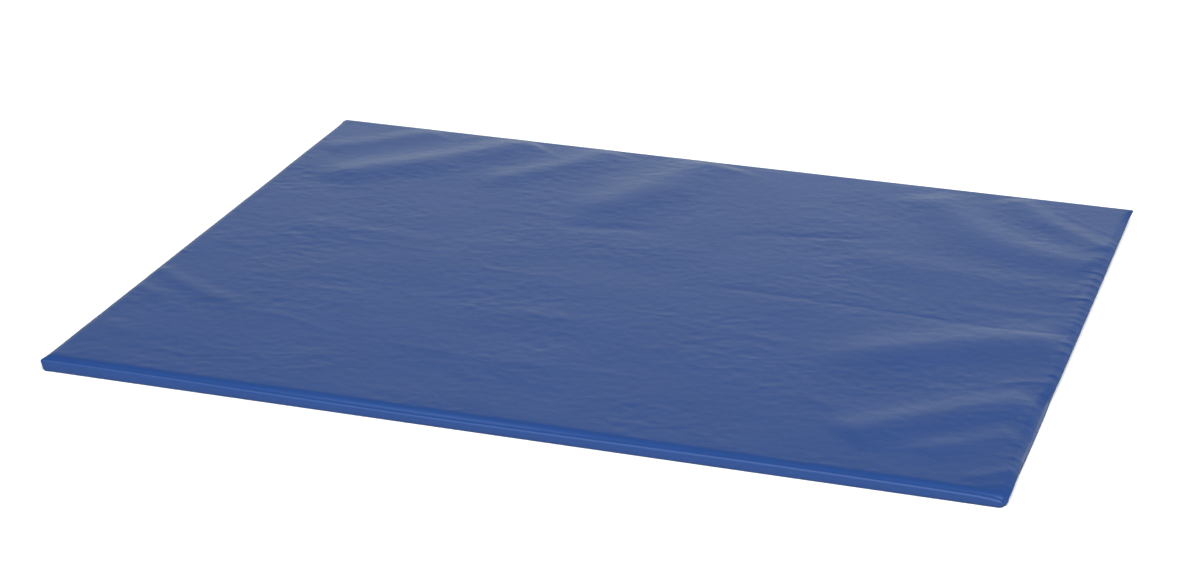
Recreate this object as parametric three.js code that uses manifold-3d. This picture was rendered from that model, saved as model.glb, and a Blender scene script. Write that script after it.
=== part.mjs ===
// Bi-fold gym mat, open and flat. Two foam panels share one vinyl cover, whose top
// skin runs on over the fold line and is the hinge. The cover is wrapped over each
// long edge, closed by a sewn strip at each end and by a channel-shaped wall at the
// fold. Each panel's left end strip holds a zip, so that the foam can be taken out.
//
// Millimetres. X runs along the fold line, Y across both panels, Z up. The origin is
// at the middle of the underside.
import * as THREE from "three";
import { mergeVertices } from "three/addons/utils/BufferGeometryUtils.js";
import Module from "manifold-3d";

const wasm = await Module();
wasm.setup();

// The mat
const LENGTH = 1524;
const DEPTH = 1219.2;
const THICKNESS = 25.4;
const VINYL = 0.6; // thickness of the coated fabric
const GAP = 0.3; // between pieces that touch
const BEYOND = 2 * LENGTH; // a cutting block's reach where it leaves the mat

// Its outer form: the top rolls down to the edges, and the lower edges are rounded
const ROLL_WIDTH = 45;
const ROLL_HEIGHT = 6.4;
const LOWER_ROUND = 6;
const CORNER_RADIUS = 10;

// Inside the cover
const FLANGE = 15; // the fold wall's flanges, welded under the top and bottom skins
const LINING_GAP = GAP + VINYL + GAP; // from a skin to the foam, past the flange

// The left end: a recess with a turned-in lip above and below, and the zip in it
const RECESS = 6.5;
const LIP_LOW = 3;
const LIP_HIGH = 16.2;
const ZIP_Z = 9.6;
const ZIP_FIRST = 35; // the ends of the zip's slot, from the fold line
const ZIP_LAST = 575;
const SLOT_WIDTH = 10;
const TAPE_WIDTH = 7.4;
const COIL_WIDTH = 6;
const COIL_THICK = 2.1;

// The zip's slider and its pull
const SLIDER_LENGTH = 9;
const SLIDER_WALL = 1.2;
const BAIL_WIDTH = 1.2;
const BAIL_SPAN = 6;
const BAIL_HEIGHT = 2.8;
const BAIL_THICK = 1;
const PULL_THICK = 1;
const PULL_LENGTH = 22;
const PULL_WIDTH = 6;
const EYE = { from: 0.5, to: 4, width: 2.4 };
const STOP_LENGTH = 3;

const END_X = -LENGTH / 2; // the left end's outer plane
const STRIP_X = END_X + RECESS; // outer face of the recessed end strip
const TAPE_X = STRIP_X + VINYL + GAP;
const COIL_X = TAPE_X - GAP - COIL_THICK;
const PLATE_X = COIL_X - GAP - SLIDER_WALL; // outer face of the slider's plate
const PIVOT_X = PLATE_X - (BAIL_HEIGHT - BAIL_THICK) / 2;
const SLIDER_HALF = COIL_WIDTH / 2 + GAP + SLIDER_WALL;
const SLIDER_AT = ZIP_LAST - STOP_LENGTH - 1 - SLIDER_LENGTH / 2; // zip closed

const vinyl = { color: 0x1f3d7a, roughness: 0.45, metalness: 0 };
const foam = { color: 0xe6e0cf, roughness: 0.95, metalness: 0 };
const tape = { color: 0x16233f, roughness: 0.9, metalness: 0 };
const nylon = { color: 0x1b2b4f, roughness: 0.5, metalness: 0 };
const metal = { color: 0x5b6067, roughness: 0.35, metalness: 0.9 };

// ---- Solids ----------------------------------------------------------------

function solid(geometry) {
  geometry.deleteAttribute("normal");
  geometry.deleteAttribute("uv");
  const merged = mergeVertices(geometry);
  return new wasm.Manifold(
    new wasm.Mesh({
      numProp: 3,
      vertProperties: merged.attributes.position.array,
      triVerts: Uint32Array.from(merged.index.array),
    }),
  );
}

function block([x0, x1], [y0, y1], [z0, z1]) {
  const box = new THREE.BoxGeometry(x1 - x0, y1 - y0, z1 - z0);
  return solid(box.translate((x0 + x1) / 2, (y0 + y1) / 2, (z0 + z1) / 2));
}

// A rectangle about the origin with round corners
function roundedRectangle(halfX, halfY, radius) {
  const shape = new THREE.Shape();
  shape.absarc(halfX - radius, halfY - radius, radius, 0, Math.PI / 2);
  shape.absarc(radius - halfX, halfY - radius, radius, Math.PI / 2, Math.PI);
  shape.absarc(radius - halfX, radius - halfY, radius, Math.PI, 1.5 * Math.PI);
  shape.absarc(halfX - radius, radius - halfY, radius, 1.5 * Math.PI, 2 * Math.PI);
  return shape;
}

// The whole mat's form, made smaller by inset on every side
function matForm(inset) {
  const halfX = LENGTH / 2 - inset;
  const halfY = DEPTH / 2 - inset;
  const crown = new THREE.ExtrudeGeometry(
    new THREE.Shape([
      new THREE.Vector2(-halfX + ROLL_WIDTH, -halfY + ROLL_WIDTH),
      new THREE.Vector2(halfX - ROLL_WIDTH, -halfY + ROLL_WIDTH),
      new THREE.Vector2(halfX - ROLL_WIDTH, halfY - ROLL_WIDTH),
      new THREE.Vector2(-halfX + ROLL_WIDTH, halfY - ROLL_WIDTH),
    ]),
    {
      depth: THICKNESS,
      bevelThickness: ROLL_HEIGHT,
      bevelSize: ROLL_WIDTH,
      bevelSegments: 8,
    },
  );
  crown.translate(0, 0, -ROLL_HEIGHT - inset);
  const base = new THREE.ExtrudeGeometry(
    roundedRectangle(halfX - LOWER_ROUND, halfY - LOWER_ROUND, CORNER_RADIUS - LOWER_ROUND),
    {
      depth: THICKNESS,
      bevelThickness: LOWER_ROUND,
      bevelSize: LOWER_ROUND,
      bevelSegments: 5,
      curveSegments: 6,
    },
  );
  base.translate(0, 0, LOWER_ROUND + inset);
  return solid(crown).intersect(solid(base));
}

// From near to far away from the fold line, on one side of it
function across(side, near, far) {
  return side < 0 ? [-far, -near] : [near, far];
}

// ---- One panel's pieces: side is -1 for the front panel, +1 for the rear one ----

function cover(side) {
  const shell = matForm(0).subtract(matForm(VINYL));
  const half = block(
    [-BEYOND, LENGTH / 2 - VINYL - GAP],
    across(side, GAP / 2, BEYOND),
    [-BEYOND, BEYOND],
  );
  const recess = block(
    [-BEYOND, END_X + VINYL + GAP],
    across(side, -BEYOND, DEPTH / 2 - LOWER_ROUND),
    [LIP_LOW, LIP_HIGH],
  );
  return shell.intersect(half).subtract(recess);
}

function rightEnd(side) {
  const strip = block(
    [LENGTH / 2 - VINYL, BEYOND],
    across(side, GAP / 2, BEYOND),
    [-BEYOND, BEYOND],
  );
  return matForm(0).intersect(strip);
}

function leftEnd(side) {
  const strip = block(
    [STRIP_X, STRIP_X + VINYL],
    across(side, GAP / 2, BEYOND),
    [-BEYOND, BEYOND],
  );
  const slot = block(
    [-BEYOND, 0],
    across(side, ZIP_FIRST, ZIP_LAST),
    [ZIP_Z - SLOT_WIDTH / 2, ZIP_Z + SLOT_WIDTH / 2],
  );
  return matForm(VINYL + GAP).intersect(strip).subtract(slot);
}

function foldWall(side) {
  const ends = [STRIP_X + VINYL + GAP, LENGTH / 2 - VINYL - GAP];
  const wall = matForm(VINYL + GAP).intersect(
    block(ends, across(side, GAP / 2, FLANGE), [-BEYOND, BEYOND]),
  );
  const inside = matForm(2 * VINYL + GAP).intersect(
    block([-BEYOND, BEYOND], across(side, GAP / 2 + VINYL, BEYOND), [-BEYOND, BEYOND]),
  );
  return wall.subtract(inside);
}

function foamPanel(side) {
  const room = block(
    [TAPE_X + VINYL + GAP, LENGTH / 2 - VINYL - GAP],
    across(side, GAP / 2 + VINYL + GAP, BEYOND),
    [-BEYOND, BEYOND],
  );
  return matForm(VINYL + LINING_GAP).intersect(room);
}

// ---- The zip in a panel's left end ----------------------------------------------

// The half of a tape or coil above (+1) or below (-1) the zip's middle line
function zipHalf(side, upward, x, thick, reach) {
  const near = GAP / 2;
  const z = upward > 0 ? [ZIP_Z + near, ZIP_Z + reach] : [ZIP_Z - reach, ZIP_Z - near];
  return block([x, x + thick], across(side, ZIP_FIRST, ZIP_LAST), z);
}

function zipTape(side, upward) {
  return zipHalf(side, upward, TAPE_X, VINYL, TAPE_WIDTH);
}

function zipCoil(side, upward) {
  const stops = block(
    [-BEYOND, 0],
    across(side, ZIP_FIRST + STOP_LENGTH + GAP, ZIP_LAST - STOP_LENGTH - GAP),
    [-BEYOND, BEYOND],
  );
  return zipHalf(side, upward, COIL_X, COIL_THICK, COIL_WIDTH / 2).intersect(stops);
}

function zipStop(side, near) {
  return block(
    [COIL_X, COIL_X + COIL_THICK],
    across(side, near, near + STOP_LENGTH),
    [ZIP_Z - COIL_WIDTH / 2, ZIP_Z + COIL_WIDTH / 2],
  );
}

// A channel that straddles the coils, with a bail on its plate for the pull
function zipSlider(side) {
  const length = across(side, SLIDER_AT - SLIDER_LENGTH / 2, SLIDER_AT + SLIDER_LENGTH / 2);
  const body = block(
    [PLATE_X, COIL_X + COIL_THICK],
    length,
    [ZIP_Z - SLIDER_HALF, ZIP_Z + SLIDER_HALF],
  );
  const channel = block(
    [COIL_X - GAP, BEYOND],
    [-BEYOND, BEYOND],
    [ZIP_Z - COIL_WIDTH / 2 - GAP, ZIP_Z + COIL_WIDTH / 2 + GAP],
  );
  return body.subtract(channel).add(bail(side));
}

function bail(side) {
  const z = [ZIP_Z - BAIL_WIDTH / 2, ZIP_Z + BAIL_WIDTH / 2];
  const foot = BAIL_SPAN / 2;
  const arch = block(
    [PLATE_X - BAIL_HEIGHT, PLATE_X + SLIDER_WALL / 2],
    across(side, SLIDER_AT - foot, SLIDER_AT + foot),
    z,
  );
  const opening = block(
    [PLATE_X - BAIL_HEIGHT + BAIL_THICK, PLATE_X],
    across(side, SLIDER_AT - foot + BAIL_THICK, SLIDER_AT + foot - BAIL_THICK),
    [-BEYOND, BEYOND],
  );
  return arch.subtract(opening);
}

// A flat tab that lies along the coils, from the bail towards the fold line
function zipPull(side) {
  const outline = new THREE.Shape();
  const half = PULL_WIDTH / 2;
  outline.moveTo(-PULL_THICK / 2, -half);
  outline.lineTo(PULL_LENGTH - half, -half);
  outline.absarc(PULL_LENGTH - half, 0, half, -Math.PI / 2, Math.PI / 2);
  outline.lineTo(-PULL_THICK / 2, half);
  const eye = new THREE.Path();
  eye.moveTo(EYE.from, -EYE.width / 2);
  eye.lineTo(EYE.from, EYE.width / 2);
  eye.lineTo(EYE.to, EYE.width / 2);
  eye.lineTo(EYE.to, -EYE.width / 2);
  outline.holes.push(eye);
  const tab = new THREE.ExtrudeGeometry(outline, {
    depth: PULL_THICK,
    bevelEnabled: false,
    curveSegments: 8,
  });
  tab.translate(0, 0, -PULL_THICK / 2);
  // the tab's own x, y and z become the mat's -side Y, Z and X
  const stand = new THREE.Matrix4().makeBasis(
    new THREE.Vector3(0, -side, 0),
    new THREE.Vector3(0, 0, 1),
    new THREE.Vector3(-side, 0, 0),
  );
  tab.applyMatrix4(stand);
  return solid(tab.translate(PIVOT_X, side * SLIDER_AT, ZIP_Z));
}

// ---- The scene graph ---------------------------------------------------------

function piece(name, form, look) {
  const { vertProperties, triVerts } = form.getMesh();
  const geometry = new THREE.BufferGeometry();
  geometry.setAttribute("position", new THREE.BufferAttribute(vertProperties, 3));
  geometry.setIndex(new THREE.BufferAttribute(triVerts, 1));
  geometry.computeVertexNormals();
  const mesh = new THREE.Mesh(geometry, new THREE.MeshStandardMaterial(look));
  mesh.name = name;
  return mesh;
}

function panel(name, side) {
  const group = new THREE.Group();
  group.add(
    piece(`${name}_cover`, cover(side), vinyl),
    piece(`${name}_left_end_strip`, leftEnd(side), vinyl),
    piece(`${name}_right_end_strip`, rightEnd(side), vinyl),
    piece(`${name}_fold_wall`, foldWall(side), vinyl),
    piece(`${name}_foam`, foamPanel(side), foam),
    piece(`${name}_zip_tape_upper`, zipTape(side, 1), tape),
    piece(`${name}_zip_tape_lower`, zipTape(side, -1), tape),
    piece(`${name}_zip_coil_upper`, zipCoil(side, 1), nylon),
    piece(`${name}_zip_coil_lower`, zipCoil(side, -1), nylon),
    piece(`${name}_zip_inner_stop`, zipStop(side, ZIP_FIRST), metal),
    piece(`${name}_zip_outer_stop`, zipStop(side, ZIP_LAST - STOP_LENGTH), metal),
    piece(`${name}_zip_slider`, zipSlider(side), metal),
    piece(`${name}_zip_pull`, zipPull(side), metal),
  );
  return group;
}

const mat = new THREE.Group();
mat.name = "folding_gym_mat";
mat.add(panel("front", -1), panel("rear", 1));

export default mat;
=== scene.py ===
"""Folding gym mat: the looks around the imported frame. Metres, +Z up, origin under the middle."""

import math

import bmesh
import bpy
import numpy as np
from mathutils import Matrix, Vector


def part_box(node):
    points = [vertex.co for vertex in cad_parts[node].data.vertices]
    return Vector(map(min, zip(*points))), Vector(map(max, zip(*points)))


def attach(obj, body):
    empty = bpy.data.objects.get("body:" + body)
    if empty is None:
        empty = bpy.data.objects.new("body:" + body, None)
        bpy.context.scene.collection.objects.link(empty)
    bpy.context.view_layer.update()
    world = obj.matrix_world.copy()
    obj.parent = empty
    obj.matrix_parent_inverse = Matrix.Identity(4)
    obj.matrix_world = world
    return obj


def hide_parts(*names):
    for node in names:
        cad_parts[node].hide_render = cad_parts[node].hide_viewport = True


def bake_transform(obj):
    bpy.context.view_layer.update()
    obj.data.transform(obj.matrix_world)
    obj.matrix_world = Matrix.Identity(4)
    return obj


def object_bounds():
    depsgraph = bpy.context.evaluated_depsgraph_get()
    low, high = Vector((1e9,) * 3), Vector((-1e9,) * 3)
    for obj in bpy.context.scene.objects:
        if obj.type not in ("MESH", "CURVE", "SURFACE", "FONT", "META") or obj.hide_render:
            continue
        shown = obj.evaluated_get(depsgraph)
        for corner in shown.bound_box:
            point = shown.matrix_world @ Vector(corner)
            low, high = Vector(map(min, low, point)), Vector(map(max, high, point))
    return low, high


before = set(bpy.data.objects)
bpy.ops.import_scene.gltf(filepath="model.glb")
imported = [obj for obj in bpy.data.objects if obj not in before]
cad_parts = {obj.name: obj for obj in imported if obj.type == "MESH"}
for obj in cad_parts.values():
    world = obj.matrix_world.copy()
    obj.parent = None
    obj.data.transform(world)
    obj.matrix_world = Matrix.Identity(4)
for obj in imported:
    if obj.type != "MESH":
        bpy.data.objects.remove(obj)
CAD_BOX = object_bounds()
MM = 0.001
HALF_X = CAD_BOX[1][0]
HALF_Y = CAD_BOX[1][1]
SEED = 7

# The thickness of the cover and how high its top lies
SKIN = 0.6 * MM  # the vinyl
CREST_Z = 23.4 * MM  # the middle of the top, before it tilts and wrinkles
TILT = 2.4 * MM  # the right end is this much lower than the left one

# How far the top falls to its edges, and over what width
EDGE_DROP = 10.6 * MM  # to the front edge, before it wanders
EDGE_ROLL = 28 * MM
EDGE_WANDER = 3.4 * MM  # along X the front edge is thicker and thinner by this much
EDGE_WAVE = 1.14  # from one thick place to the next, along X
EDGE_THICK_AT = -0.70  # where along X one of them is
EDGE_POWER = 4.6  # the fall steepens towards the front edge
BACK_DROP = 1.0 * MM  # to the back edge on the left half; it fades out towards the right end
BACK_ROLL = 230 * MM
END_DROP = 6.5 * MM  # to the sewn ends
LEFT_ROLL = 12 * MM
RIGHT_ROLL = 16 * MM
CORNER_FLAT = 45 * MM  # the back right corner does not fall, within this distance

# The long walls and the corners in plan
UPPER_BEND = 4.2 * MM  # radius where the top turns down into the long wall
LOWER_BEND = 2.8 * MM  # and where the wall turns under
WALL_BULGE = 0.7 * MM
CORNER = 1.2 * MM  # the corners' radius
WORN_CORNER = 9 * MM  # the front right corner's, which is also pressed flat
WORN_PINCH = 8.5 * MM  # by this much
WORN_REACH = 15 * MM
LEFT_SPREAD = 1.5 * MM  # the long walls stand out by this much at the left end
RIGHT_PULL = 3 * MM  # and are drawn in by this much at the right end
DRAWN_FROM = 30 * MM  # only what lies this close to the long edges moves with them
DRAWN_WIDTH = 20 * MM  # and it moves more and more over this width

# The sewn ends: where the seams lie along X
SEAM_IN = 1.6 * MM  # their line lies this far inside the CAD outline
LEFT_OUT = 2.5 * MM  # the top skin's seams stand out from it by this much
RIGHT_OUT = 5.5 * MM
SEAM_BACK = 8 * MM  # but the right end's seam is drawn back here, so that its strip shows
SEAM_BACK_AT = -0.365
SEAM_BACK_HALF = 0.13
LEFT_LEAN = 2.5 * MM  # the bottom skin is this much shorter than the top at each end
RIGHT_LEAN = 5 * MM
LEAN_WIDTH = 80 * MM  # all of it fades out over this width
EAR = 4 * MM  # the sharp corners are drawn out to a point, and the worn one in
EAR_WIDTH = 9 * MM
ALLOWANCE = 7 * MM  # the seam allowance turned inside
TUCK = 3 * MM  # an end strip's own ends are tucked in behind the long walls
TUCK_WIDTH = 1.5 * MM

# The bottom skins and the fold
UNDER_SLACK = 0.8  # the bottom skin's folds, as a share of the top's
UNDER_SLACK_AT = 0.25 * MM  # raises them before they are cut off at the floor
UNDER_LIFT_MAX = 1.1 * MM
UNDER_RIM = 40 * MM  # they fade out over this width at the rim
HEM_Y = 12 * MM  # the bottom skins stop this far from the fold line
FOLD_BEND = 4 * MM  # the top skin's rows lie 1 mm apart within twice this distance of the fold line


# ---- Small tools ------------------------------------------------------------

def smooth(t):
    """Rises from 0 to 1 as t does, and levels off at both."""
    t = np.clip(t, 0, 1)
    return t * t * (3 - 2 * t)


def mesh_object(name, points, faces, uv=None, smooth_faces=True):
    mesh = bpy.data.meshes.new(name)
    mesh.from_pydata([tuple(p) for p in points], [], [tuple(int(i) for i in f) for f in faces])
    mesh.update()
    if uv is not None:
        layer = mesh.uv_layers.new(name="flat")
        corner_points = np.empty(len(mesh.loops), np.int32)
        mesh.loops.foreach_get("vertex_index", corner_points)
        layer.data.foreach_set("uv", np.asarray(uv, np.float32)[corner_points].ravel())
    mesh.polygons.foreach_set("use_smooth", [smooth_faces] * len(mesh.polygons))
    piece = bpy.data.objects.new(name, mesh)
    bpy.context.scene.collection.objects.link(piece)
    return piece


def grid_faces(rows, columns):
    index = np.arange(rows * columns).reshape(rows, columns)
    quads = [index[:-1, :-1], index[:-1, 1:], index[1:, 1:], index[1:, :-1]]
    return np.stack([q.ravel() for q in quads], axis=1)


def apply_modifiers(piece):
    bpy.context.view_layer.update()
    evaluated = piece.evaluated_get(bpy.context.evaluated_depsgraph_get())
    mesh = bpy.data.meshes.new_from_object(evaluated)
    piece.modifiers.clear()
    piece.data = mesh
    return piece


def thicken(piece, thickness):
    """Gives a sheet its thickness, inwards from its outer face."""
    solidify = piece.modifiers.new("thickness", "SOLIDIFY")
    solidify.thickness = thickness
    solidify.offset = -1.0
    return apply_modifiers(piece)


def bevel_edges(piece, width, angle):
    bevel = piece.modifiers.new("edges", "BEVEL")
    bevel.width = width
    bevel.segments = 3
    bevel.angle_limit = math.radians(angle)
    return apply_modifiers(piece)


def spaced(start, stop, step):
    """Even places from start to stop, about a step apart."""
    return np.linspace(start, stop, max(2, round(abs(stop - start) / step) + 1))


# ---- The top's relief -------------------------------------------------------------

# Each crease is (points, half width, height, fade at each end, sharpness), all in millimetres.
# Points are measured from the back left corner: along the back edge, then towards the front.
CREASES = [
    # folds that fan out from the back edge, on the left
    ([(205, 0), (110, 95), (20, 170)], 26, 1.1, (20, 30), 2.0),
    ([(285, 5), (245, 60)], 14, 0.3, (15, 35), 2.0),
    ([(392, 0), (330, 75), (245, 165), (150, 245), (60, 325)], 38, 2.4, (20, 90), 2.0),
    ([(548, 0), (495, 110), (415, 200), (358, 280)], 30, 1.4, (20, 100), 2.0),
    ([(750, 0), (710, 100), (660, 220), (610, 320), (570, 370)], 52, 2.5, (20, 130), 2.0),
    ([(575, 420), (640, 402), (700, 392), (790, 382)], 20, -0.55, (40, 90), 2.0),
    # folds that fan out towards the back right corner
    ([(1165, 30), (1230, 140), (1300, 215), (1400, 270), (1515, 300)], 46, 2.1, (60, 30), 2.0),
    ([(1310, 10), (1380, 100), (1440, 155), (1520, 225)], 28, 1.6, (30, 30), 2.0),
    ([(1395, 52), (1450, 98), (1515, 150)], 6, 0.28, (20, 5), 1.5),
    ([(1050, 365), (1250, 400), (1500, 420)], 38, 0.8, (120, 10), 2.0),
    ([(880, 362), (960, 335), (1050, 318), (1180, 278)], 12, -0.32, (25, 80), 1.7),
    # broad waves that start at the right end
    ([(1520, 640), (1440, 662), (1350, 702), (1240, 772), (1120, 865)], 48, 2.6, (45, 170), 2.0),
    ([(1515, 875), (1430, 930), (1340, 1005), (1235, 1100)], 38, 2.1, (40, 50), 2.0),
    ([(1515, 1000), (1420, 1072), (1340, 1135)], 24, 1.1, (30, 70), 2.0),
    ([(1518, 1125), (1450, 1185)], 13, 0.6, (5, 30), 1.8),
    ([(1120, 985), (1180, 980), (1230, 1015)], 12, 0.3, (30, 30), 1.8),
    # the crease of the fold, a little off the straight line
    ([(850, 600), (1000, 600), (1200, 608), (1400, 622), (1518, 612)], 9, -0.34, (150, 5), 1.6),
    ([(690, 640), (590, 645), (480, 640)], 9, 0.2, (60, 60), 1.6),
    ([(440, 605), (340, 592), (190, 590)], 10, 0.22, (50, 60), 1.6),
    ([(430, 560), (300, 545), (140, 550)], 22, 0.45, (60, 60), 2.0),
    # the gathered end of the right seam
    ([(1518, 806), (1468, 820), (1430, 852)], 9, 0.55, (2, 30), 1.5),
    ([(1518, 452), (1440, 462)], 12, 0.35, (2, 50), 1.8),
    ([(1518, 530), (1400, 545), (1270, 535)], 12, 0.35, (5, 90), 1.6),
    ([(1518, 570), (1440, 580)], 16, 0.4, (5, 60), 1.8),
    # the gathered end of the left seam
    ([(8, 818), (60, 858), (130, 897), (250, 935)], 20, 0.85, (10, 120), 2.0),
    ([(8, 900), (80, 935)], 15, 0.5, (5, 40), 1.9),
    ([(130, 945), (270, 940), (340, 960), (420, 985)], 9, 0.25, (30, 60), 1.6),
    ([(30, 1040), (90, 1110)], 15, 0.4, (20, 40), 1.8),
    # faint crumples across the middle
    ([(390, 372), (520, 368), (640, 372)], 9, 0.2, (60, 60), 1.6),
    ([(660, 470), (720, 480), (790, 468)], 9, 0.2, (30, 30), 1.6),
    ([(480, 985), (700, 1000), (960, 985)], 10, 0.2, (60, 90), 1.6),
    ([(1010, 780), (1100, 780)], 8, 0.2, (30, 30), 1.6),
    ([(345, 1115), (440, 1045)], 8, 0.25, (30, 40), 1.6),
    ([(620, 800), (760, 812)], 16, 0.35, (50, 50), 1.8),
]
# Short puckers along the end seams: where each one is, in millimetres from the back edge.
RIGHT_PUCKERS = [180, 262, 325, 355, 385, 415, 445, 485, 505, 555, 590, 640, 680, 735, 775, 850, 905,
                 960, 1040, 1085, 1180]
LEFT_PUCKERS = [120, 290, 520, 735, 1000]
PUCKER_LENGTH = 44  # on average, in millimetres
BROAD = 20  # folds with a half width over this (mm) lean: their front side
FRONT_SLOPE = 1.45  # is this many times as long as their back side
CURVE_STEPS = 8  # between two points of a crease
RELIEF_STEP = 3 * MM
RELIEF_RIM = 30 * MM  # the relief weakens over this width at the long edges
RELIEF_AT_RIM = 0.15  # to this share


def curve_points(points):
    """A Catmull-Rom curve through points."""
    p = np.array([points[0], *points, points[-1]], float)
    if len(points) == 2:
        return np.linspace(p[1], p[2], CURVE_STEPS + 1)
    out = []
    for a, b, c, d in zip(p, p[1:], p[2:], p[3:]):
        for t in np.linspace(0, 1, CURVE_STEPS, endpoint=False):
            out.append(0.5 * (2 * b + (c - a) * t + (2 * a - 5 * b + 4 * c - d) * t**2
                              + (3 * b - a - 3 * c + d) * t**3))
    return np.array([*out, p[-2]])


def add_crease(relief, xs, ys, points, half_width, height, fades, sharpness):
    """Adds one ridge (or valley, where height is negative) along a curve."""
    line = curve_points(points) * MM
    line = np.stack([line[:, 0] - HALF_X, HALF_Y - line[:, 1]], axis=1)
    reach = 4 * half_width * MM
    low, high = line.min(0) - reach, line.max(0) + reach
    columns = np.flatnonzero((xs >= low[0]) & (xs <= high[0]))
    rows = np.flatnonzero((ys >= low[1]) & (ys <= high[1]))
    gx, gy = np.meshgrid(xs[columns], ys[rows])
    best = np.full(gx.shape, np.inf)
    along = np.zeros(gx.shape)
    in_front = np.zeros(gx.shape, bool)
    travelled = 0.0
    for a, b in zip(line, line[1:]):
        span = b - a
        length = np.hypot(*span)
        t = np.clip(((gx - a[0]) * span[0] + (gy - a[1]) * span[1]) / length**2, 0, 1)
        distance = np.hypot(gx - a[0] - t * span[0], gy - a[1] - t * span[1])
        nearer = distance < best
        best[nearer] = distance[nearer]
        along[nearer] = (travelled + t * length)[nearer]
        in_front[nearer] = (gy < a[1] + t * span[1])[nearer]
        travelled += length
    fade = smooth(along / (fades[0] * MM)) * smooth((travelled - along) / (fades[1] * MM))
    width = half_width * MM * np.where(in_front & (half_width > BROAD), FRONT_SLOPE, 1)
    shape = np.exp(-((best / width) ** sharpness))
    relief[np.ix_(rows, columns)] += height * MM * fade * shape


def random_field(shape, step, size_x, size_y, random):
    """A smooth random field with a spread of 1 and bumps of about size_x by size_y."""
    rows, columns = shape
    fx = np.fft.fftfreq(columns, step)[None, :] * size_x
    fy = np.fft.fftfreq(rows, step)[:, None] * size_y
    f = np.hypot(fx, fy)
    keep = f**2 * np.exp(-(f**2) * 1.6)
    field = np.fft.ifft2(np.fft.fft2(random.standard_normal(shape)) * keep).real
    return field / field.std()


def crumple(shape, step, random):
    """Fine crumples of soft vinyl: short crests and dents in patches, on soft bumps."""
    patches = smooth(0.5 + 0.4 * random_field(shape, step, 0.3, 0.25, random))
    total = 0.13 * MM * random_field(shape, step, 0.26, 0.20, random)
    for size_x, size_y, height in ((0.12, 0.085, 0.15), (0.055, 0.042, 0.12)):
        crests = 1 - np.abs(random_field(shape, step, size_x, size_y, random))
        total += height * MM * np.clip(crests, -1, 1) ** 3 * (0.4 + 0.6 * patches)
    total += 0.05 * MM * random_field(shape, step, 0.028, 0.022, random) * (0.4 + 0.6 * patches)
    return total


def add_puckers(relief, xs, ys, places, end, random):
    """Gathers in the top skin where it is sewn to an end strip; end is -1 or +1."""
    for place in places:
        length = PUCKER_LENGTH * random.uniform(0.55, 1.25)
        lean = random.uniform(-0.3, 0.3) * length
        edge = (HALF_X / MM) * (1 + end)
        half_width = random.uniform(4.0, 7.0)
        height = random.uniform(0.2, 0.55)
        points = [(edge - end * 2, place), (edge - end * length, place + lean)]
        add_crease(relief, xs, ys, points, half_width, height, (1, length * 0.8), 1.5)
        points = [(x, y + 2.1 * half_width) for x, y in points]
        add_crease(relief, xs, ys, points, half_width, -0.6 * height, (1, length * 0.7), 1.6)


def make_relief():
    """The wrinkles' height over the whole top, on a regular grid: (xs, ys, heights)."""
    random = np.random.default_rng(SEED)
    xs = spaced(-HALF_X, HALF_X, RELIEF_STEP)
    ys = spaced(-HALF_Y, HALF_Y, RELIEF_STEP)
    relief = crumple((len(ys), len(xs)), RELIEF_STEP, random)
    for crease in CREASES:
        add_crease(relief, xs, ys, *crease)
    add_puckers(relief, xs, ys, RIGHT_PUCKERS, 1, random)
    add_puckers(relief, xs, ys, LEFT_PUCKERS, -1, random)
    inside = smooth((HALF_Y - np.abs(ys)) / RELIEF_RIM)[:, None]
    return xs, ys, relief * (RELIEF_AT_RIM + (1 - RELIEF_AT_RIM) * inside)


RELIEF = make_relief()


def relief_at(x, y):
    """The wrinkles' height at any place, between the relief's grid points."""
    xs, ys, relief = RELIEF
    fx = np.clip((x - xs[0]) / (xs[1] - xs[0]), 0, len(xs) - 1.001)
    fy = np.clip((y - ys[0]) / (ys[1] - ys[0]), 0, len(ys) - 1.001)
    i, j = fx.astype(int), fy.astype(int)
    a, b = fx - i, fy - j
    low = relief[j, i] * (1 - a) + relief[j, i + 1] * a
    high = relief[j + 1, i] * (1 - a) + relief[j + 1, i + 1] * a
    return low * (1 - b) + high * b


def pillow_drop(x, y):
    """How far the top lies below its flat middle, without its wrinkles."""
    to_front = np.clip((HALF_Y + y) / EDGE_ROLL, 0, 1)
    to_back = np.clip((HALF_Y - y) / BACK_ROLL, 0, 1)
    to_end = np.clip((HALF_X - np.abs(x)) / np.where(x > 0, RIGHT_ROLL, LEFT_ROLL), 0, 1)
    wander = EDGE_WANDER * np.cos(2 * np.pi * (x - EDGE_THICK_AT) / EDGE_WAVE)
    back_drop = BACK_DROP * (1 - smooth(x / HALF_X))
    edge_drop = (EDGE_DROP - wander) * (1 - to_front) ** EDGE_POWER + back_drop * (1 - to_back) ** 2.0
    flat_corner = np.where(x > 0, np.exp(-(((HALF_Y - y) / CORNER_FLAT) ** 2)), 0)
    end_drop = END_DROP * (1 - to_end) ** 2.0 * (1 - flat_corner)
    drop = (edge_drop**4 + end_drop**4) ** 0.25 + TILT * (x + HALF_X) / (2 * HALF_X)
    pinch = WORN_PINCH * np.exp(-np.hypot(HALF_X - x, HALF_Y + y) / WORN_REACH)
    return drop + pinch


def top_z(x, y):
    """The outer face of the top skin."""
    return CREST_Z - pillow_drop(x, y) + relief_at(x, y)


def right_out(y):
    """How far the top skin's right seam stands out."""
    return RIGHT_OUT - SEAM_BACK * np.exp(-(((y - SEAM_BACK_AT) / SEAM_BACK_HALF) ** 4))


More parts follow.
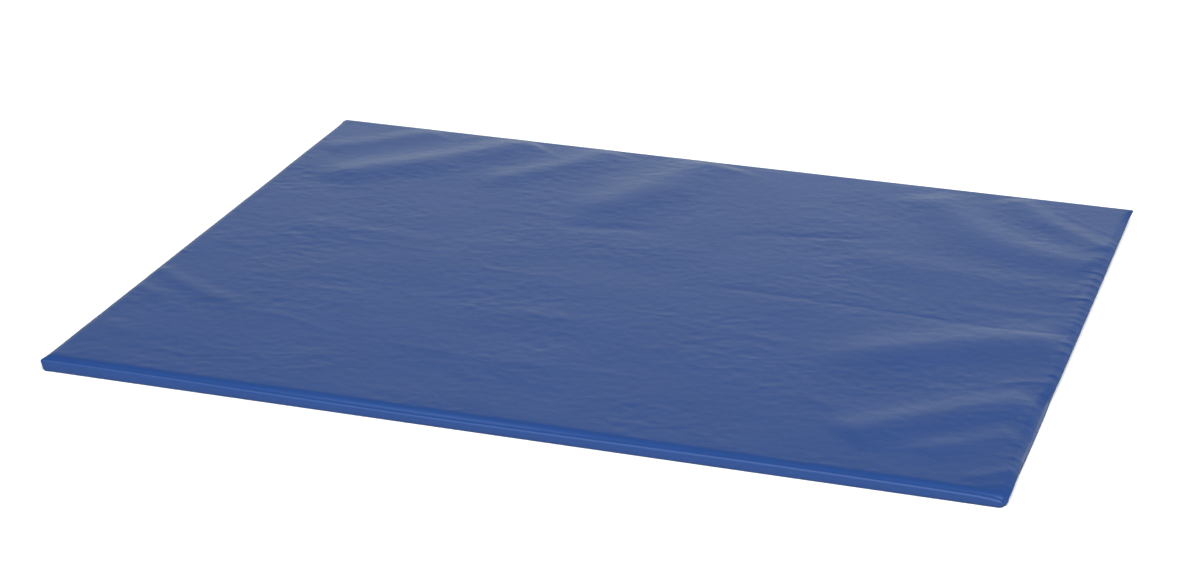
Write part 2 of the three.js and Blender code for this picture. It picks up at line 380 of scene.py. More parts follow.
def leaned(x, y, share):
    """Moves a row of places along X to where the ends are at this share of the height."""
    near_end = smooth((np.abs(x) - HALF_X + LEAN_WIDTH) / LEAN_WIDTH)
    out = np.where(x > 0, right_out(y), LEFT_OUT) - np.where(x > 0, RIGHT_LEAN, LEFT_LEAN) * (1 - share)
    worn = (x > 0) & (y < 0)
    to_corner = np.hypot(HALF_X - np.abs(x), HALF_Y - np.abs(y))
    ear = np.where(worn, -EAR, EAR) * np.exp(-to_corner / EAR_WIDTH) * share
    return x + np.sign(x) * (out * near_end + ear)


def drawn_in(points):
    """Moves the points near the long edges, which come closer together to the right."""
    x, y = points[..., 0], points[..., 1]
    shift = LEFT_SPREAD - (LEFT_SPREAD + RIGHT_PULL) * (x + HALF_X) / (2 * HALF_X)
    near_edge = smooth((np.abs(y) - HALF_Y + DRAWN_FROM) / DRAWN_WIDTH)
    moved = points.copy()
    moved[..., 1] += np.sign(y) * shift * near_edge
    return moved


def corner_radius(end, side):
    return WORN_CORNER if end > 0 and side < 0 else CORNER


def corner_inset(x, side):
    """How far the long walls step back at the rounded corners."""
    radius = np.where(x > 0, corner_radius(1, side), corner_radius(-1, side))
    to_end = np.clip(HALF_X - SEAM_IN - np.abs(x), 0, radius)
    return radius - np.sqrt(np.maximum(radius**2 - (radius - to_end) ** 2, 0))


# ---- The cover -------------------------------------------------------------------

DENSE_END = 36 * MM  # the cover's grid is finer this close to the sewn ends
DENSE_EDGE = 24 * MM  # and this close to the long edges
FINE_STEP = 2 * MM
PLAIN_STEP = 4 * MM
BEND_SHARE = 0.4  # a long wall's bends take at most this share of its height each
SEAM_LIP = ((0.55, 0.25), (0.85, 0.8), (0.75, 1.5), (0.3, 2.1))  # out and in from the open end, in mm


def column_places():
    """The places along X of the cover's columns, closer together at the sewn ends."""
    end = HALF_X - SEAM_IN
    near = spaced(-end, -end + DENSE_END, FINE_STEP)
    middle = spaced(-end + DENSE_END, end - DENSE_END, PLAIN_STEP)[1:-1]
    return np.concatenate([near, middle, -near[::-1]])


def top_rows():
    """The places along Y of the top's rows, closer together at the edges and the fold."""
    flat_edge = HALF_Y - UPPER_BEND
    near = spaced(-flat_edge, -flat_edge + DENSE_EDGE, FINE_STEP)
    middle = spaced(-flat_edge + DENSE_EDGE, -FOLD_BEND * 2, PLAIN_STEP)[1:]
    fold = spaced(-FOLD_BEND * 2, 0, 1 * MM)[1:]
    half = np.concatenate([near, middle, fold])
    return np.concatenate([half, -half[-2::-1]])


def wall_section(x, side):
    """One long wall from its upper bend to its hem: a list of rows of points."""
    rows = []
    inset = corner_inset(x, side)
    centre = HALF_Y - UPPER_BEND
    height = top_z(x, side * centre * np.ones_like(x))
    bend = np.minimum(UPPER_BEND, height * BEND_SHARE)
    lower = np.minimum(LOWER_BEND, height * BEND_SHARE)
    for angle in np.radians([72, 54, 36, 18, 0]):
        y = centre + bend * math.cos(angle) - inset
        rows.append((side * y, height - bend * (1 - math.sin(angle))))
    for t in (0.2, 0.4, 0.6, 0.8):
        y = HALF_Y - inset + WALL_BULGE * math.sin(math.pi * t) - WALL_BULGE
        rows.append((side * y, (height - bend) * (1 - t) + lower * t))
    for angle in np.radians([0, 22, 45, 67, 90]):
        y = HALF_Y - WALL_BULGE - lower * (1 - math.cos(angle)) - inset
        rows.append((side * y, lower * (1 - math.sin(angle))))
    under = rows[-1][0]
    for t in spaced(0, 1, 6 * MM / (HALF_Y - HEM_Y))[1:]:
        y = under * (1 - t) + side * HEM_Y * t
        rows.append((y, under_z(x, y)))
    return [(leaned(x, y, z / height), y, z) for y, z in rows]


def under_z(x, y):
    """The outer face of the bottom skin: flat on the floor, with slack folds lifted off it."""
    to_rim = np.minimum(HALF_X - np.abs(x), np.minimum(HALF_Y - np.abs(y), np.abs(y) - HEM_Y))
    lift = UNDER_SLACK * relief_at(-x, y) + UNDER_SLACK_AT
    return np.clip(lift, 0, UNDER_LIFT_MAX) * smooth(to_rim / UNDER_RIM)


def turned_in(points, end):
    """Adds columns that turn a cover's open end into its seam; end is -1 or +1."""
    column = points[:, -1] if end > 0 else points[:, 0]
    inward = np.cross((1, 0, 0), np.gradient(column, axis=0))
    inward /= np.linalg.norm(inward, axis=1)[:, None]
    lips = []
    for out, depth in SEAM_LIP:
        lips.append(column + np.array((end * out * MM, 0, 0)) + inward * depth * MM)
    lips = np.stack(lips, axis=1)
    if end > 0:
        return np.concatenate([points, lips], axis=1)
    return np.concatenate([lips[:, ::-1], points], axis=1)


def cover():
    """The whole cover in one grid of rows: rear hem, rear wall, top, front wall, front hem."""
    x = column_places()
    rows = wall_section(x, 1)[::-1]
    for y in top_rows()[::-1]:
        across = np.full_like(x, y)
        inset = corner_inset(x, np.sign(y)) * smooth((abs(y) - HALF_Y + EDGE_ROLL) / EDGE_ROLL)
        rows.append((leaned(x, y, 1), across - np.sign(y) * inset, top_z(x, across)))
    rows += wall_section(x, -1)
    points = drawn_in(np.stack([np.stack(np.broadcast_arrays(*row), axis=1) for row in rows]))
    points = turned_in(turned_in(points, 1), -1)
    return sheet_object("mat_cover", points[::-1])


def sheet_object(name, points, keep=None, thickness=SKIN):
    """A cloth piece from a grid of points on its outer face; keep says which faces it has."""
    rows, columns = points.shape[:2]
    down = np.linalg.norm(np.diff(points, axis=0), axis=2).mean(1)
    right = np.linalg.norm(np.diff(points, axis=1), axis=2).mean(0)
    v = np.concatenate([[0], np.cumsum(down)])[:, None]
    u = np.concatenate([[0], np.cumsum(right)])[None, :]
    uv = np.stack(np.broadcast_arrays(u, v), axis=2).reshape(-1, 2)
    faces = grid_faces(rows, columns)
    if keep is not None:
        faces = faces[keep.ravel()]
    piece = mesh_object(name, points.reshape(-1, 3), faces, uv)
    return thicken(piece, thickness)


# ---- Under the cover: the fold walls and the foam ---------------------------------------

FOAM_FROM_ZIP = 12 * MM  # the foam's room at the left end, behind the zip
FOAM_FROM_END = 5 * MM  # at the right end
FOAM_FROM_WALL = 4 * MM
FOAM_FROM_FOLD = 2.4 * MM
FOAM_BELOW_TOP = 3.0 * MM
FOAM_LOW_Z = 1.8 * MM
FOAM_STEP = 12 * MM


def fold_wall(name, side):
    """The channel that closes a panel at the fold: flange, wall and flange."""
    gap = 0.6 * MM  # from the fold line to the wall
    bend = 1.8 * MM
    low, high = 0.25 * MM, CREST_Z - SKIN - 1.3 * MM
    on_hem = 1.3 * MM  # the lower flange steps up over the bottom skin's hem
    section = [(22 * MM, on_hem), (17 * MM, on_hem), (14 * MM, 1.2 * MM), (11.4 * MM, low), (8 * MM, low)]
    for angle in np.radians([0, 30, 60, 90]):
        section.append((gap + bend * (1 - math.sin(angle)), low + bend * (1 - math.cos(angle))))
    section += [(gap, z) for z in np.linspace(low + bend, high - bend, 7)[1:-1]]
    for angle in np.radians([90, 60, 30, 0]):
        section.append((gap + bend * (1 - math.sin(angle)), high - bend * (1 - math.cos(angle))))
    section += [(8 * MM, high), (15 * MM, high)]
    end = HALF_X - SEAM_IN - 1.5 * MM
    x = spaced(-end, end, 12 * MM)
    z_limit = top_z(x, np.zeros_like(x)) - SKIN - 0.6 * MM
    rows = []
    for y, z in section:
        rows.append(np.stack([x, np.full_like(x, side * y), np.minimum(z, z_limit)], axis=1))
    points = np.stack(rows)
    return sheet_object(name, points if side > 0 else points[:, ::-1])


def foam(name, side):
    """A cut foam slab, a little crowned, that fills a panel's cover loosely."""
    left, right = -HALF_X + FOAM_FROM_ZIP, HALF_X - FOAM_FROM_END
    x = spaced(left, right, FOAM_STEP)
    y = side * spaced(FOAM_FROM_FOLD, HALF_Y - FOAM_FROM_WALL, FOAM_STEP)
    gx, gy = np.meshgrid(x, y)
    upper_z = CREST_Z - FOAM_BELOW_TOP - pillow_drop(gx, gy)
    gx += (right_out(gy) - RIGHT_OUT) * smooth((gx - right + LEAN_WIDTH) / LEAN_WIDTH)
    upper = drawn_in(np.stack([gx, gy, upper_z], axis=2))
    lower = drawn_in(np.stack([gx, gy, np.full_like(gx, FOAM_LOW_Z)], axis=2))
    return closed_slab(name, upper, lower, flip=side < 0)


def closed_slab(name, upper, lower, flip):
    """A closed body between two grids of the same size."""
    rows, columns = upper.shape[:2]
    top = grid_faces(rows, columns)
    bottom = top[:, ::-1] + rows * columns
    index = np.arange(rows * columns).reshape(rows, columns)
    rim = np.concatenate([index[0, :-1], index[:-1, -1], index[-1, :0:-1], index[:0:-1, 0]])
    rim_next = np.roll(rim, -1)
    sides = np.stack([rim, rim + rows * columns, rim_next + rows * columns, rim_next], axis=1)
    faces = np.concatenate([top, bottom, sides])
    if flip:
        faces = faces[:, ::-1]
    points = np.concatenate([upper.reshape(-1, 3), lower.reshape(-1, 3)])
    piece = mesh_object(name, points, faces, points[:, :2], smooth_faces=False)
    return bevel_edges(piece, width=1.2 * MM, angle=50)


# ---- The sewn ends ---------------------------------------------------------------------

ZIP_FIRST = 35 * MM  # where the zip's slot starts and ends, from the fold line
ZIP_LAST = 575 * MM
SLOT_HALF = 5 * MM
SLOT_RIM = 1.4 * MM  # the flat rim above and below the slot
SEAM_DEPTH = 0.9 * MM  # an end strip is sewn this far inside the outer faces
SEAM_ROWS = 3  # rows of an end strip's grid in each of its seam allowances
NO_RECESS = -2 * RIGHT_OUT  # leaves a strip's face as far out as its seams put it


def zip_z():
    low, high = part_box("front_zip_slider")
    return (low.z + high.z) / 2


def seam_heights(y, end):
    """The heights of an end strip's upper and lower seams."""
    upper = top_z(end * np.full_like(y, HALF_X - SEAM_IN), y) - SEAM_DEPTH
    return upper, np.full_like(y, SEAM_DEPTH)


def part_way_down(y, end, share):
    """The height at this share of the way from an end strip's upper seam to its lower one."""
    upper, lower = seam_heights(y, end)
    return upper * (1 - share) + lower * share


def strip_rows(y, end, levels, bulge):
    """Rows of points down an end strip, from its upper seam allowance to its lower one.

    levels says how the face between them runs: (height, how far in it is at least) pairs.
    """
    seam_z, low_z = seam_heights(y, end)
    tuck = TUCK * smooth((np.abs(y) - np.abs(y).max() + TUCK_WIDTH) / TUCK_WIDTH)
    seam_x = HALF_X - SEAM_IN + (right_out(y) if end > 0 else LEFT_OUT)
    low_x = seam_x - (RIGHT_LEAN if end > 0 else LEFT_LEAN)
    rows = [
        (seam_x - ALLOWANCE, seam_z - 1.2 * MM),
        (seam_x - 0.4 * ALLOWANCE, seam_z - 0.9 * MM),
        (seam_x - 0.6 * MM, seam_z - 0.55 * MM),
    ]
    for z, depth in levels:
        t = np.clip((seam_z - z) / (seam_z - low_z), 0, 1)
        straight = seam_x * (1 - t) + low_x * t
        face = np.minimum(straight, HALF_X - SEAM_IN - depth)
        rows.append((face + bulge * np.sin(np.pi * t**1.5) ** 0.8, z))
    rows += [
        (low_x - 0.6 * MM, low_z + 0.1 * MM),
        (low_x - 0.4 * ALLOWANCE, low_z + 0.35 * MM),
        (low_x - ALLOWANCE, low_z + 0.5 * MM),
    ]
    stacked = [np.stack(np.broadcast_arrays(end * (x - tuck), y, z), axis=1) for x, z in rows]
    return drawn_in(np.stack(stacked))


def strip_places(end, side):
    """The places along Y of an end strip's columns, closer together at its outer corner."""
    inner = 1.0 * MM
    outer = HALF_Y - corner_radius(end, side) + 0.5 * MM
    corner_from = outer - 6 * MM
    near_corner = spaced(corner_from, outer, 0.75 * MM)[1:]
    return side * np.concatenate([spaced(inner, corner_from, 3 * MM), near_corner])


def wander(y, size, random):
    """A slow random wander between -1 and 1 along y."""
    places = np.arange(y.min(), y.max() + size, size)
    return np.interp(y, places, random.uniform(-1, 1, len(places)))


def right_strip(name, side):
    """A strip whose middle bulges out, most of all where its seam is drawn back."""
    y = strip_places(1, side)
    random = np.random.default_rng(SEED + 3 + side)
    bulge = (0.9 + 0.35 * wander(y, 45 * MM, random)) * MM + 1.1 * (RIGHT_OUT - right_out(y))
    shares = (0.08, 0.2, 0.35, 0.5, 0.65, 0.8, 0.92)
    levels = [(part_way_down(y, 1, share), NO_RECESS) for share in shares]
    points = strip_rows(y, 1, levels, bulge)
    return sheet_object(name, points if side < 0 else points[:, ::-1])


def left_strip(name, side):
    """A strip drawn in round its zip, with the zip's slot cut in it."""
    y = strip_places(-1, side)
    distance = np.abs(y)
    for edge in (ZIP_FIRST, ZIP_LAST):
        y[np.argmin(np.abs(distance - edge))] = side * edge
    depth = HALF_X + frame_x("front_left_end_strip") - SEAM_IN
    slot_top, slot_bottom = zip_z() + SLOT_HALF, zip_z() - SLOT_HALF
    going_in = [(part_way_down(y, -1, 0.05), 0.35 * depth), (part_way_down(y, -1, 0.1), 0.75 * depth)]
    heights = (slot_top + SLOT_RIM, slot_top, slot_bottom, slot_bottom - SLOT_RIM)
    round_slot = [(np.full_like(y, z), depth) for z in heights]
    coming_out = [(part_way_down(y, -1, 0.93), 0.75 * depth), (part_way_down(y, -1, 0.97), 0.35 * depth)]
    points = strip_rows(y, -1, going_in + round_slot + coming_out, np.zeros_like(y))
    keep = np.ones((points.shape[0] - 1, points.shape[1] - 1), bool)
    slot_row = SEAM_ROWS + len(going_in) + heights.index(slot_top)
    centre = np.abs(y[:-1] + y[1:]) / 2
    keep[slot_row, (centre > ZIP_FIRST) & (centre < ZIP_LAST)] = False
    if side > 0:
        return sheet_object(name, points, keep)
    return sheet_object(name, points[:, ::-1], keep[:, ::-1])


def frame_x(node):
    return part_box(node)[0].x


# ---- The zips -----------------------------------------------------------------------------

TOOTH_PITCH = 2.0 * MM
TOOTH_SLIM = 0.86  # a tooth is this many times as wide as its outline
TOOTH_SIDE = [(0.36, 3.0), (0.36, 0.7), (0.5, 0.3), (0.46, -0.35), (0.2, -0.62)]  # root to tip, in mm
TOOTH = [(-along, out) for along, out in TOOTH_SIDE] + TOOTH_SIDE[::-1]
CORD = 0.45 * MM  # radius of the cord that the teeth sit on
CORD_Z = 2.55 * MM  # its distance from the zip's middle
STITCH_PITCH = 3.4 * MM
STITCH_LENGTH = 0.78  # of the pitch
STITCH_FROM_SLOT = 0.9 * MM
STITCH = [(-0.5, 0.55, 0.16), (-0.36, 0.0, 0.24), (0, -0.08, 0.26),
          (0.36, 0.0, 0.24), (0.5, 0.55, 0.16)]  # place along it (share), depth and radius in mm
TAPE_THICKNESS = 0.35 * MM
TAPE_TURN = 3.5 * MM


def joined(name, parts):
    """One object from several (points, faces) pairs."""
    points, faces, count = [], [], 0
    for p, f in parts:
        points.extend(p)
        faces.extend([[i + count for i in face] for face in f])
        count += len(p)
    return mesh_object(name, points, faces)


def tube(rings):
    """A closed body through rings of as many points each: (points, faces)."""
    count = len(rings[0])
    last = count * (len(rings) - 1)
    faces = [list(range(count)), [last + i for i in range(count)][::-1]]
    for start in range(0, last, count):
        for i in range(count):
            a, b = start + i, start + (i + 1) % count
            faces.append([a, a + count, b + count, b])
    return [point for ring in rings for point in ring], faces


def prism(outline, x_levels):
    """A closed prism in X: outline is (y, z) points, x_levels is (x, scale) pairs."""
    centre = np.mean(outline, axis=0)
    rings = [[(x, *(centre + (np.array(p) - centre) * scale)) for p in outline] for x, scale in x_levels]
    points, faces = tube(rings)
    return points, [face[::-1] for face in faces]


def circle(count):
    return np.linspace(0, 2 * math.pi, count, endpoint=False)


def coil(name, upward):
    """One side of the zip: a row of hooked teeth on a cord."""
    low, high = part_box(name)
    middle = zip_z()
    first = low.y + 1 * MM
    places = np.arange(first, high.y - 1 * MM, TOOTH_PITCH) + 0.25 * TOOTH_PITCH * upward
    levels = [(low.x, 0.7), (low.x + 0.15 * MM, 0.9), (low.x + 0.5 * MM, 1.0), (high.x - 0.1 * MM, 1.0)]
    parts = []
    for place in places:
        tooth = [(place + along * MM * TOOTH_SLIM, middle + upward * out * MM) for along, out in TOOTH]
        parts.append(prism(tooth[::-1] if upward > 0 else tooth, levels))
    cord_x, cord_z = low.x + 1.1 * MM, middle + upward * CORD_Z
    cord = [[(cord_x + CORD * math.sin(a), y, cord_z + CORD * math.cos(a)) for a in circle(8)]
            for y in (low.y, high.y)]
    parts.append(tube(cord))
    piece = joined(name + "_teeth", parts)
    piece.data.polygons.foreach_set("use_smooth", [False] * len(piece.data.polygons))
    return piece


def zip_tape(name, upward):
    """A woven tape beside the teeth, its far edge turned inwards."""
    low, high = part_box(name)
    y = spaced(low.y, high.y, 4 * MM)
    near, far = (low.z, high.z) if upward > 0 else (high.z, low.z)
    random = np.random.default_rng(SEED + len(name))
    ripple = wander(y, 30 * MM, random) * 0.12 * MM
    section = [(0, z) for z in spaced(near, far, 0.9 * MM)]
    section += [(TAPE_TURN * t, far) for t in (0.3, 0.6, 1.0)]
    rows = [np.stack([low.x + 0.15 * MM + inward + ripple, y, np.full_like(y, z)], axis=1)
            for inward, z in section]
    points = np.stack(rows)
    return sheet_object(name + "_cloth", points[::-1] if upward > 0 else points, thickness=TAPE_THICKNESS)


def rounded_copy(node, width):
    """The CAD node's own shape with its edges rounded."""
    piece = bpy.data.objects.new(node + "_rounded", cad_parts[node].data.copy())
    bpy.context.scene.collection.objects.link(piece)
    piece.data.materials.clear()
    form = bmesh.new()
    form.from_mesh(piece.data)
    bmesh.ops.remove_doubles(form, verts=form.verts, dist=1e-6)
    bmesh.ops.dissolve_limit(form, angle_limit=math.radians(3), verts=form.verts, edges=form.edges)
    form.to_mesh(piece.data)
    form.free()
    bevel_edges(piece, width, angle=25)
    piece.data.polygons.foreach_set("use_smooth", [True] * len(piece.data.polygons))
    piece.data.set_sharp_from_angle(angle=math.radians(40))
    return piece


def stitches(name, side):
    """Two rows of thread that hold the zip's tapes to the end strip."""
    x = frame_x("front_left_end_strip") - 0.1 * MM
    parts = []
    for z in (zip_z() + SLOT_HALF + STITCH_FROM_SLOT, zip_z() - SLOT_HALF - STITCH_FROM_SLOT):
        for place in np.arange(ZIP_FIRST, ZIP_LAST, STITCH_PITCH):
            parts.append(stitch(Vector((x, side * place, z)), STITCH_PITCH * STITCH_LENGTH))
    return joined(name, parts)


def stitch(middle, length):
    """One stitch along Y: a thread that dips into the cloth at both ends."""
    rings = []
    for along, sink, radius in STITCH:
        centre = middle + Vector((sink * MM, along * length, 0))
        rings.append([centre + radius * MM * Vector((math.cos(a), 0, math.sin(a))) for a in circle(6)])
    return tube(rings)


# ---- Materials ---------------------------------------------------------------------

def new_material(name, color, roughness, metallic=0.0):
    material = bpy.data.materials.new(name)
    material.use_nodes = True
    shader = material.node_tree.nodes["Principled BSDF"]
    shader.inputs["Base Color"].default_value = (*color, 1)
    shader.inputs["Roughness"].default_value = roughness
    shader.inputs["Metallic"].default_value = metallic
    return material, shader


def add_node(material, kind, **settings):
    node = material.node_tree.nodes.new(kind)
    for key, value in settings.items():
        if key in node.inputs:
            node.inputs[key].default_value = value
        else:
            setattr(node, key, value)
    return node


def link(material, a, b):
    material.node_tree.links.new(a, b)


def plain_material(name, color, roughness, scale, bump, depth, metallic=0.0):
    """A material with a fine mottled grain, scale grains a metre and depth deep."""
    material, shader = new_material(name, color, roughness, metallic)
    place = add_node(material, "ShaderNodeTexCoord")
    grain = add_node(material, "ShaderNodeTexNoise", Scale=scale, Detail=4.0)
    link(material, place.outputs["Object"], grain.inputs["Vector"])
    tint = add_node(material, "ShaderNodeMix", data_type="RGBA")
    tint.inputs["A"].default_value = (*[c * 0.8 for c in color], 1)
    tint.inputs["B"].default_value = (*[min(1, c * 1.2) for c in color], 1)
    link(material, grain.outputs["Fac"], tint.inputs["Factor"])
    link(material, tint.outputs["Result"], shader.inputs["Base Color"])
    relief = add_node(material, "ShaderNodeBump", Strength=bump, Distance=depth)
    link(material, grain.outputs["Fac"], relief.inputs["Height"])
    link(material, relief.outputs["Normal"], shader.inputs["Normal"])
    return material


VINYL_BLUE = (0.0165, 0.049, 0.182)
VINYL_GLOSS = (0.20, 0.28)  # its roughness wanders between these
VINYL_TINT = 0.06  # and its colour by this share


def vinyl_material():
    """Glossy blue vinyl with a fine grain and soft creases; cloudy in colour and gloss."""
    material, shader = new_material("vinyl", VINYL_BLUE, roughness=0.33)
    shader.inputs["IOR"].default_value = 1.5
    place = add_node(material, "ShaderNodeUVMap", uv_map="flat")
    cloud = add_node(material, "ShaderNodeTexNoise", Scale=7.0, Detail=3.0)
    grain = add_node(material, "ShaderNodeTexNoise", Scale=900.0, Detail=2.0)
    creases = add_node(material, "ShaderNodeTexNoise", Scale=75.0, Detail=5.0, Distortion=0.6)
    for texture in (cloud, grain, creases):
        link(material, place.outputs["UV"], texture.inputs["Vector"])
    tint = add_node(material, "ShaderNodeMix", data_type="RGBA")
    tint.inputs["A"].default_value = (*[c * (1 - VINYL_TINT) for c in VINYL_BLUE], 1)
    tint.inputs["B"].default_value = (*[c * (1 + VINYL_TINT) for c in VINYL_BLUE], 1)
    link(material, cloud.outputs["Fac"], tint.inputs["Factor"])
    link(material, tint.outputs["Result"], shader.inputs["Base Color"])
    gloss = add_node(material, "ShaderNodeMapRange")
    gloss.inputs["To Min"].default_value, gloss.inputs["To Max"].default_value = VINYL_GLOSS
    link(material, creases.outputs["Fac"], gloss.inputs["Value"])
    link(material, gloss.outputs["Result"], shader.inputs["Roughness"])
    coarse = add_node(material, "ShaderNodeBump", Strength=0.3, Distance=0.8 * MM)
    fine = add_node(material, "ShaderNodeBump", Strength=0.25, Distance=0.12 * MM)
    link(material, creases.outputs["Fac"], coarse.inputs["Height"])
    link(material, grain.outputs["Fac"], fine.inputs["Height"])
    link(material, coarse.outputs["Normal"], fine.inputs["Normal"])
    link(material, fine.outputs["Normal"], shader.inputs["Normal"])
    return material


# ---- Stage, light and camera ---------------------------------------------------------

FLOOR_HALF = 30.0
FLOOR_Z = -0.4 * MM  # just under the mat, so that they do not share a plane
# The camera, fitted to the mat's edges in the photo
CAMERA_AT = (1.3228, -4.1916, 1.8069)
CAMERA_YAW = math.radians(18.01)
CAMERA_PITCH = math.radians(22.40)
CAMERA_ROLL = math.radians(0.25)
CAMERA_LENS = 84.57


def make_camera():
    camera = bpy.data.objects.new("camera", bpy.data.cameras.new("camera"))
    bpy.context.scene.collection.objects.link(camera)
    camera.data.lens = CAMERA_LENS
    camera.data.sensor_width = 36  # millimetres
    camera.data.clip_end = 200
    forward = Vector((
        -math.sin(CAMERA_YAW) * math.cos(CAMERA_PITCH),
        math.cos(CAMERA_YAW) * math.cos(CAMERA_PITCH),
        -math.sin(CAMERA_PITCH),
    ))
    right = Vector((math.cos(CAMERA_YAW), math.sin(CAMERA_YAW), 0))
    up = right.cross(forward)
    turned_right = math.cos(CAMERA_ROLL) * right + math.sin(CAMERA_ROLL) * up
    turned_up = math.cos(CAMERA_ROLL) * up - math.sin(CAMERA_ROLL) * right
    axes = Matrix((turned_right, turned_up, -forward)).transposed().to_4x4()
    camera.matrix_world = Matrix.Translation(CAMERA_AT) @ axes
    bpy.context.scene.camera = camera


def make_floor():
    """A white floor that catches the shadow and is not mirrored in the vinyl."""
    corners = [(-1, -1), (1, -1), (1, 1), (-1, 1)]
    points = [(x * FLOOR_HALF, y * FLOOR_HALF, FLOOR_Z) for x, y in corners]
    floor = mesh_object("floor", points, [(0, 1, 2, 3)])
    material, shader = new_material("floor", (0.92, 0.92, 0.92), 0.9)
    shader.inputs["Specular IOR Level"].default_value = 0.1
    floor.data.materials.append(material)
    floor.visible_glossy = False


# The studio's back wall: its brightness by the sine of the elevation
BACK_WALL = [(0.0, 0.21), (0.09, 0.52), (0.17, 1.0), (0.25, 0.87), (0.29, 0.72), (0.33, 0.56),
             (0.375, 0.50), (0.40, 0.43), (0.45, 0.25), (0.55, 0.10), (0.70, 0.05), (1.0, 0.05)]
BACK_WALL_AT = Vector((-0.20, 0.98, 0))
BACK_WALL_SIDES = (0.76, 1.03, 0.24, 1.18)  # from the first cosine to the second: 0.24 to 1.18 times it
FRONT_BOX_AT = Vector((0.1, -0.65, 0.75)).normalized()
FRONT_BOX = (0.72, 0.93, 1.6)  # fades in between these cosines, to this brightness
SIDE_BOX_AT = Vector((0.45, 0.9, 0.0)).normalized()
SIDE_BOX = (0.982, 0.996, 0.8)  # likewise, for a small box beyond the right end
BELOW = 0.2  # the brightness from below, in place of the floor's own reflection
HORIZON = 0.85  # how bright the studio is where the camera sees it past the floor
STUDIO_TINT = (0.93, 1.0, 0.92)


def make_world():
    """A dim studio with a bright wall behind the mat, and soft boxes in front and beside it."""
    world = bpy.data.worlds.new("studio")
    world.use_nodes = True
    bpy.context.scene.world = world
    nodes, links = world.node_tree.nodes, world.node_tree.links
    place = nodes.new("ShaderNodeTexCoord").outputs["Generated"]

    def faded(direction, low, high, to_low, to_high):
        """A value by the angle from a direction: to_low at the cosine low, to_high at high."""
        dot = nodes.new("ShaderNodeVectorMath")
        dot.operation = "DOT_PRODUCT"
        dot.inputs[1].default_value = direction
        links.new(place, dot.inputs[0])
        fade = nodes.new("ShaderNodeMapRange")
        fade.interpolation_type = "SMOOTHSTEP"
        for name, value in (("From Min", low), ("From Max", high), ("To Min", to_low), ("To Max", to_high)):
            fade.inputs[name].default_value = value
        links.new(dot.outputs["Value"], fade.inputs["Value"])
        return fade.outputs["Result"]

    split = nodes.new("ShaderNodeSeparateXYZ")
    ramp = nodes.new("ShaderNodeValToRGB")
    links.new(place, split.inputs["Vector"])
    links.new(split.outputs["Z"], ramp.inputs["Fac"])
    elements = ramp.color_ramp.elements
    for at, value in BACK_WALL[1:-1]:
        elements.new(at)
    for element, (at, value) in zip(elements, BACK_WALL):
        element.position = at
        element.color = (value, value, value, 1)
    low, high, at_side, at_middle = BACK_WALL_SIDES
    total = nodes.new("ShaderNodeMath")
    total.operation = "MULTIPLY_ADD"
    links.new(ramp.outputs["Color"], total.inputs[0])
    links.new(faded(BACK_WALL_AT, low, high, at_side, at_middle), total.inputs[1])
    rest = faded(Vector((0, 0, -1)), 0.0, 0.1, 0.0, BELOW)
    for at, (low, high, brightness) in ((FRONT_BOX_AT, FRONT_BOX), (SIDE_BOX_AT, SIDE_BOX)):
        added = nodes.new("ShaderNodeMath")
        links.new(faded(at, low, high, 0.0, brightness), added.inputs[0])
        links.new(rest, added.inputs[1])
        rest = added.outputs["Value"]
    links.new(rest, total.inputs[2])
    seen = nodes.new("ShaderNodeLightPath")
    strength = nodes.new("ShaderNodeMix")
    strength.inputs["B"].default_value = HORIZON
    links.new(seen.outputs["Is Camera Ray"], strength.inputs["Factor"])
    links.new(total.outputs["Value"], strength.inputs["A"])
    nodes["Background"].inputs["Color"].default_value = (*STUDIO_TINT, 1)
    links.new(strength.outputs["Result"], nodes["Background"].inputs["Strength"])


def area_light(name, place, target, size, power):
    """A rectangular lamp that lights the mat but is not mirrored in it."""
    light = bpy.data.lights.new(name, "AREA")
    light.shape = "RECTANGLE"
    light.size, light.size_y = size
    light.energy = power
    lamp = bpy.data.objects.new(name, light)
    bpy.context.scene.collection.objects.link(lamp)
    lamp.location = place
    lamp.rotation_euler = (Vector(target) - Vector(place)).to_track_quat("-Z", "Y").to_euler()
    lamp.visible_glossy = False


def soft_sun(direction, strength, angle):
    """An even, soft light over the whole floor."""
    light = bpy.data.lights.new("even", "SUN")
    light.energy = strength
    light.angle = angle
    lamp = bpy.data.objects.new("even", light)
    bpy.context.scene.collection.objects.link(lamp)
    lamp.rotation_euler = Vector(direction).to_track_quat("-Z", "Y").to_euler()
    lamp.visible_glossy = False


make_camera()
make_world()
make_floor()
soft_sun(direction=(-1.8, 4.3, -5.6), strength=2.35, angle=math.radians(35))
area_light("key", place=(1.8, -4.3, 5.6), target=(0, 0, 0), size=(3.0, 3.0), power=270)
area_light("back", place=(0, 3.0, 1.7), target=(0, 2.6, 0), size=(8.0, 2.0), power=45)
bpy.context.scene.view_settings.view_transform = "Standard"

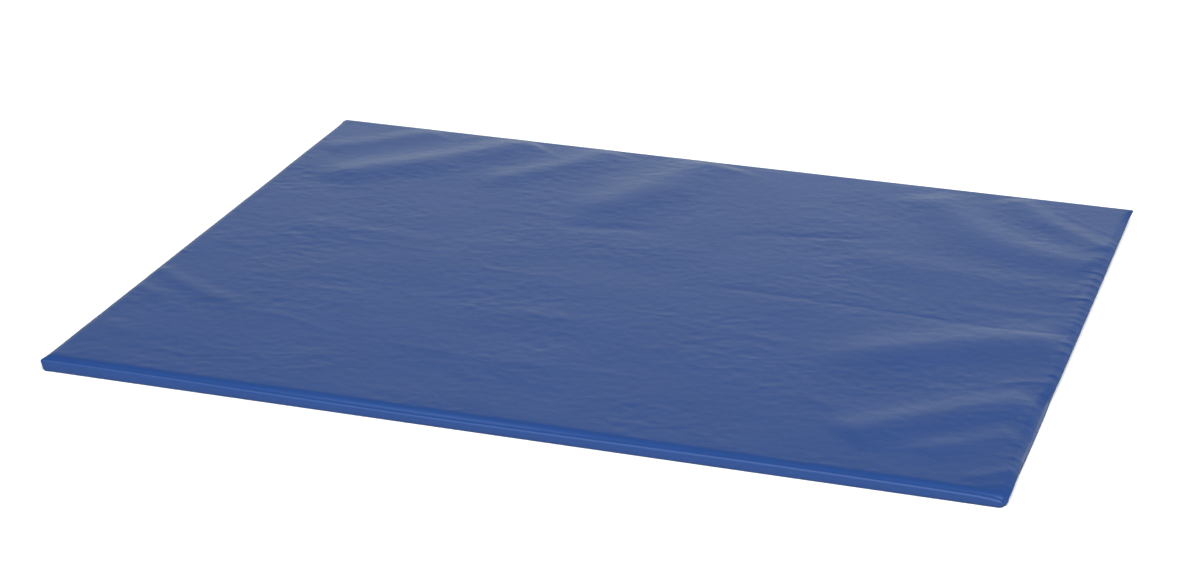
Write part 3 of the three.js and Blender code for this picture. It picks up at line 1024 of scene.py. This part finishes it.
VINYL = vinyl_material()
FOAM = plain_material("foam", (0.72, 0.68, 0.56), roughness=0.95, scale=1200, bump=0.9, depth=0.6 * MM)
TAPE = plain_material("zip_tape", (0.018, 0.035, 0.11), roughness=0.9, scale=2500, bump=0.6, depth=0.2 * MM)
NYLON = plain_material("zip_nylon", (0.02, 0.04, 0.12), roughness=0.4, scale=900, bump=0.1, depth=0.1 * MM)
THREAD = plain_material("thread", (0.03, 0.065, 0.2), roughness=0.7, scale=4000, bump=0.5, depth=0.1 * MM)
METAL = plain_material("zip_metal", (0.50, 0.46, 0.51), roughness=0.32, scale=700, bump=0.08,
                       depth=0.1 * MM, metallic=1.0)


def dress(piece, material, slot, body, *nodes):
    """Gives a piece its material, hides the CAD parts that it takes the place of, and hangs it on the body
    it moves with.
    """
    piece.data.materials.clear()
    piece.data.materials.append(material)
    if nodes:
        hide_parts(*nodes)
    if body:
        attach(piece, body)
    return piece


def panel(name, side):
    """Everything in one panel but its cover: foam, end strips, fold wall and zip."""
    body = f"{name}_panel"
    foams = dress(foam(f"{name}_foam_slab", side), FOAM, "foam", body, f"{name}_foam")
    strips = {
        "right_end_strip": right_strip(f"{name}_right_end", side),
        "left_end_strip": left_strip(f"{name}_left_end", side),
        "fold_wall": fold_wall(f"{name}_fold_channel", side),
    }
    for node, piece in strips.items():
        dress(piece, VINYL, "vinyl", body, f"{name}_{node}")
    for place, upward in (("upper", 1), ("lower", -1)):
        tape = f"{name}_zip_tape_{place}"
        cloth = dress(zip_tape(tape, upward), TAPE, "zip_tape", body, tape)
        row = f"{name}_zip_coil_{place}"
        dress(coil(row, upward), NYLON, "zip_coil", body, row)
    dress(stitches(f"{name}_zip_stitches", side), THREAD, "zip_tape", body)
    for stop in (f"{name}_zip_inner_stop", f"{name}_zip_outer_stop"):
        dress(rounded_copy(stop, width=0.4 * MM), METAL, "zip_metal", body, stop)
    slider, pull = f"{name}_zip_slider", f"{name}_zip_pull"
    dress(rounded_copy(slider, width=0.25 * MM), METAL, "zip_metal", f"{name}_slider", slider)
    dress(rounded_copy(pull, width=0.18 * MM), METAL, "zip_metal", f"{name}_pull", pull)


mat_cover = dress(cover(), VINYL, "vinyl", None, "front_cover", "rear_cover")
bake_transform(mat_cover)
panel("front", -1)
panel("rear", 1)
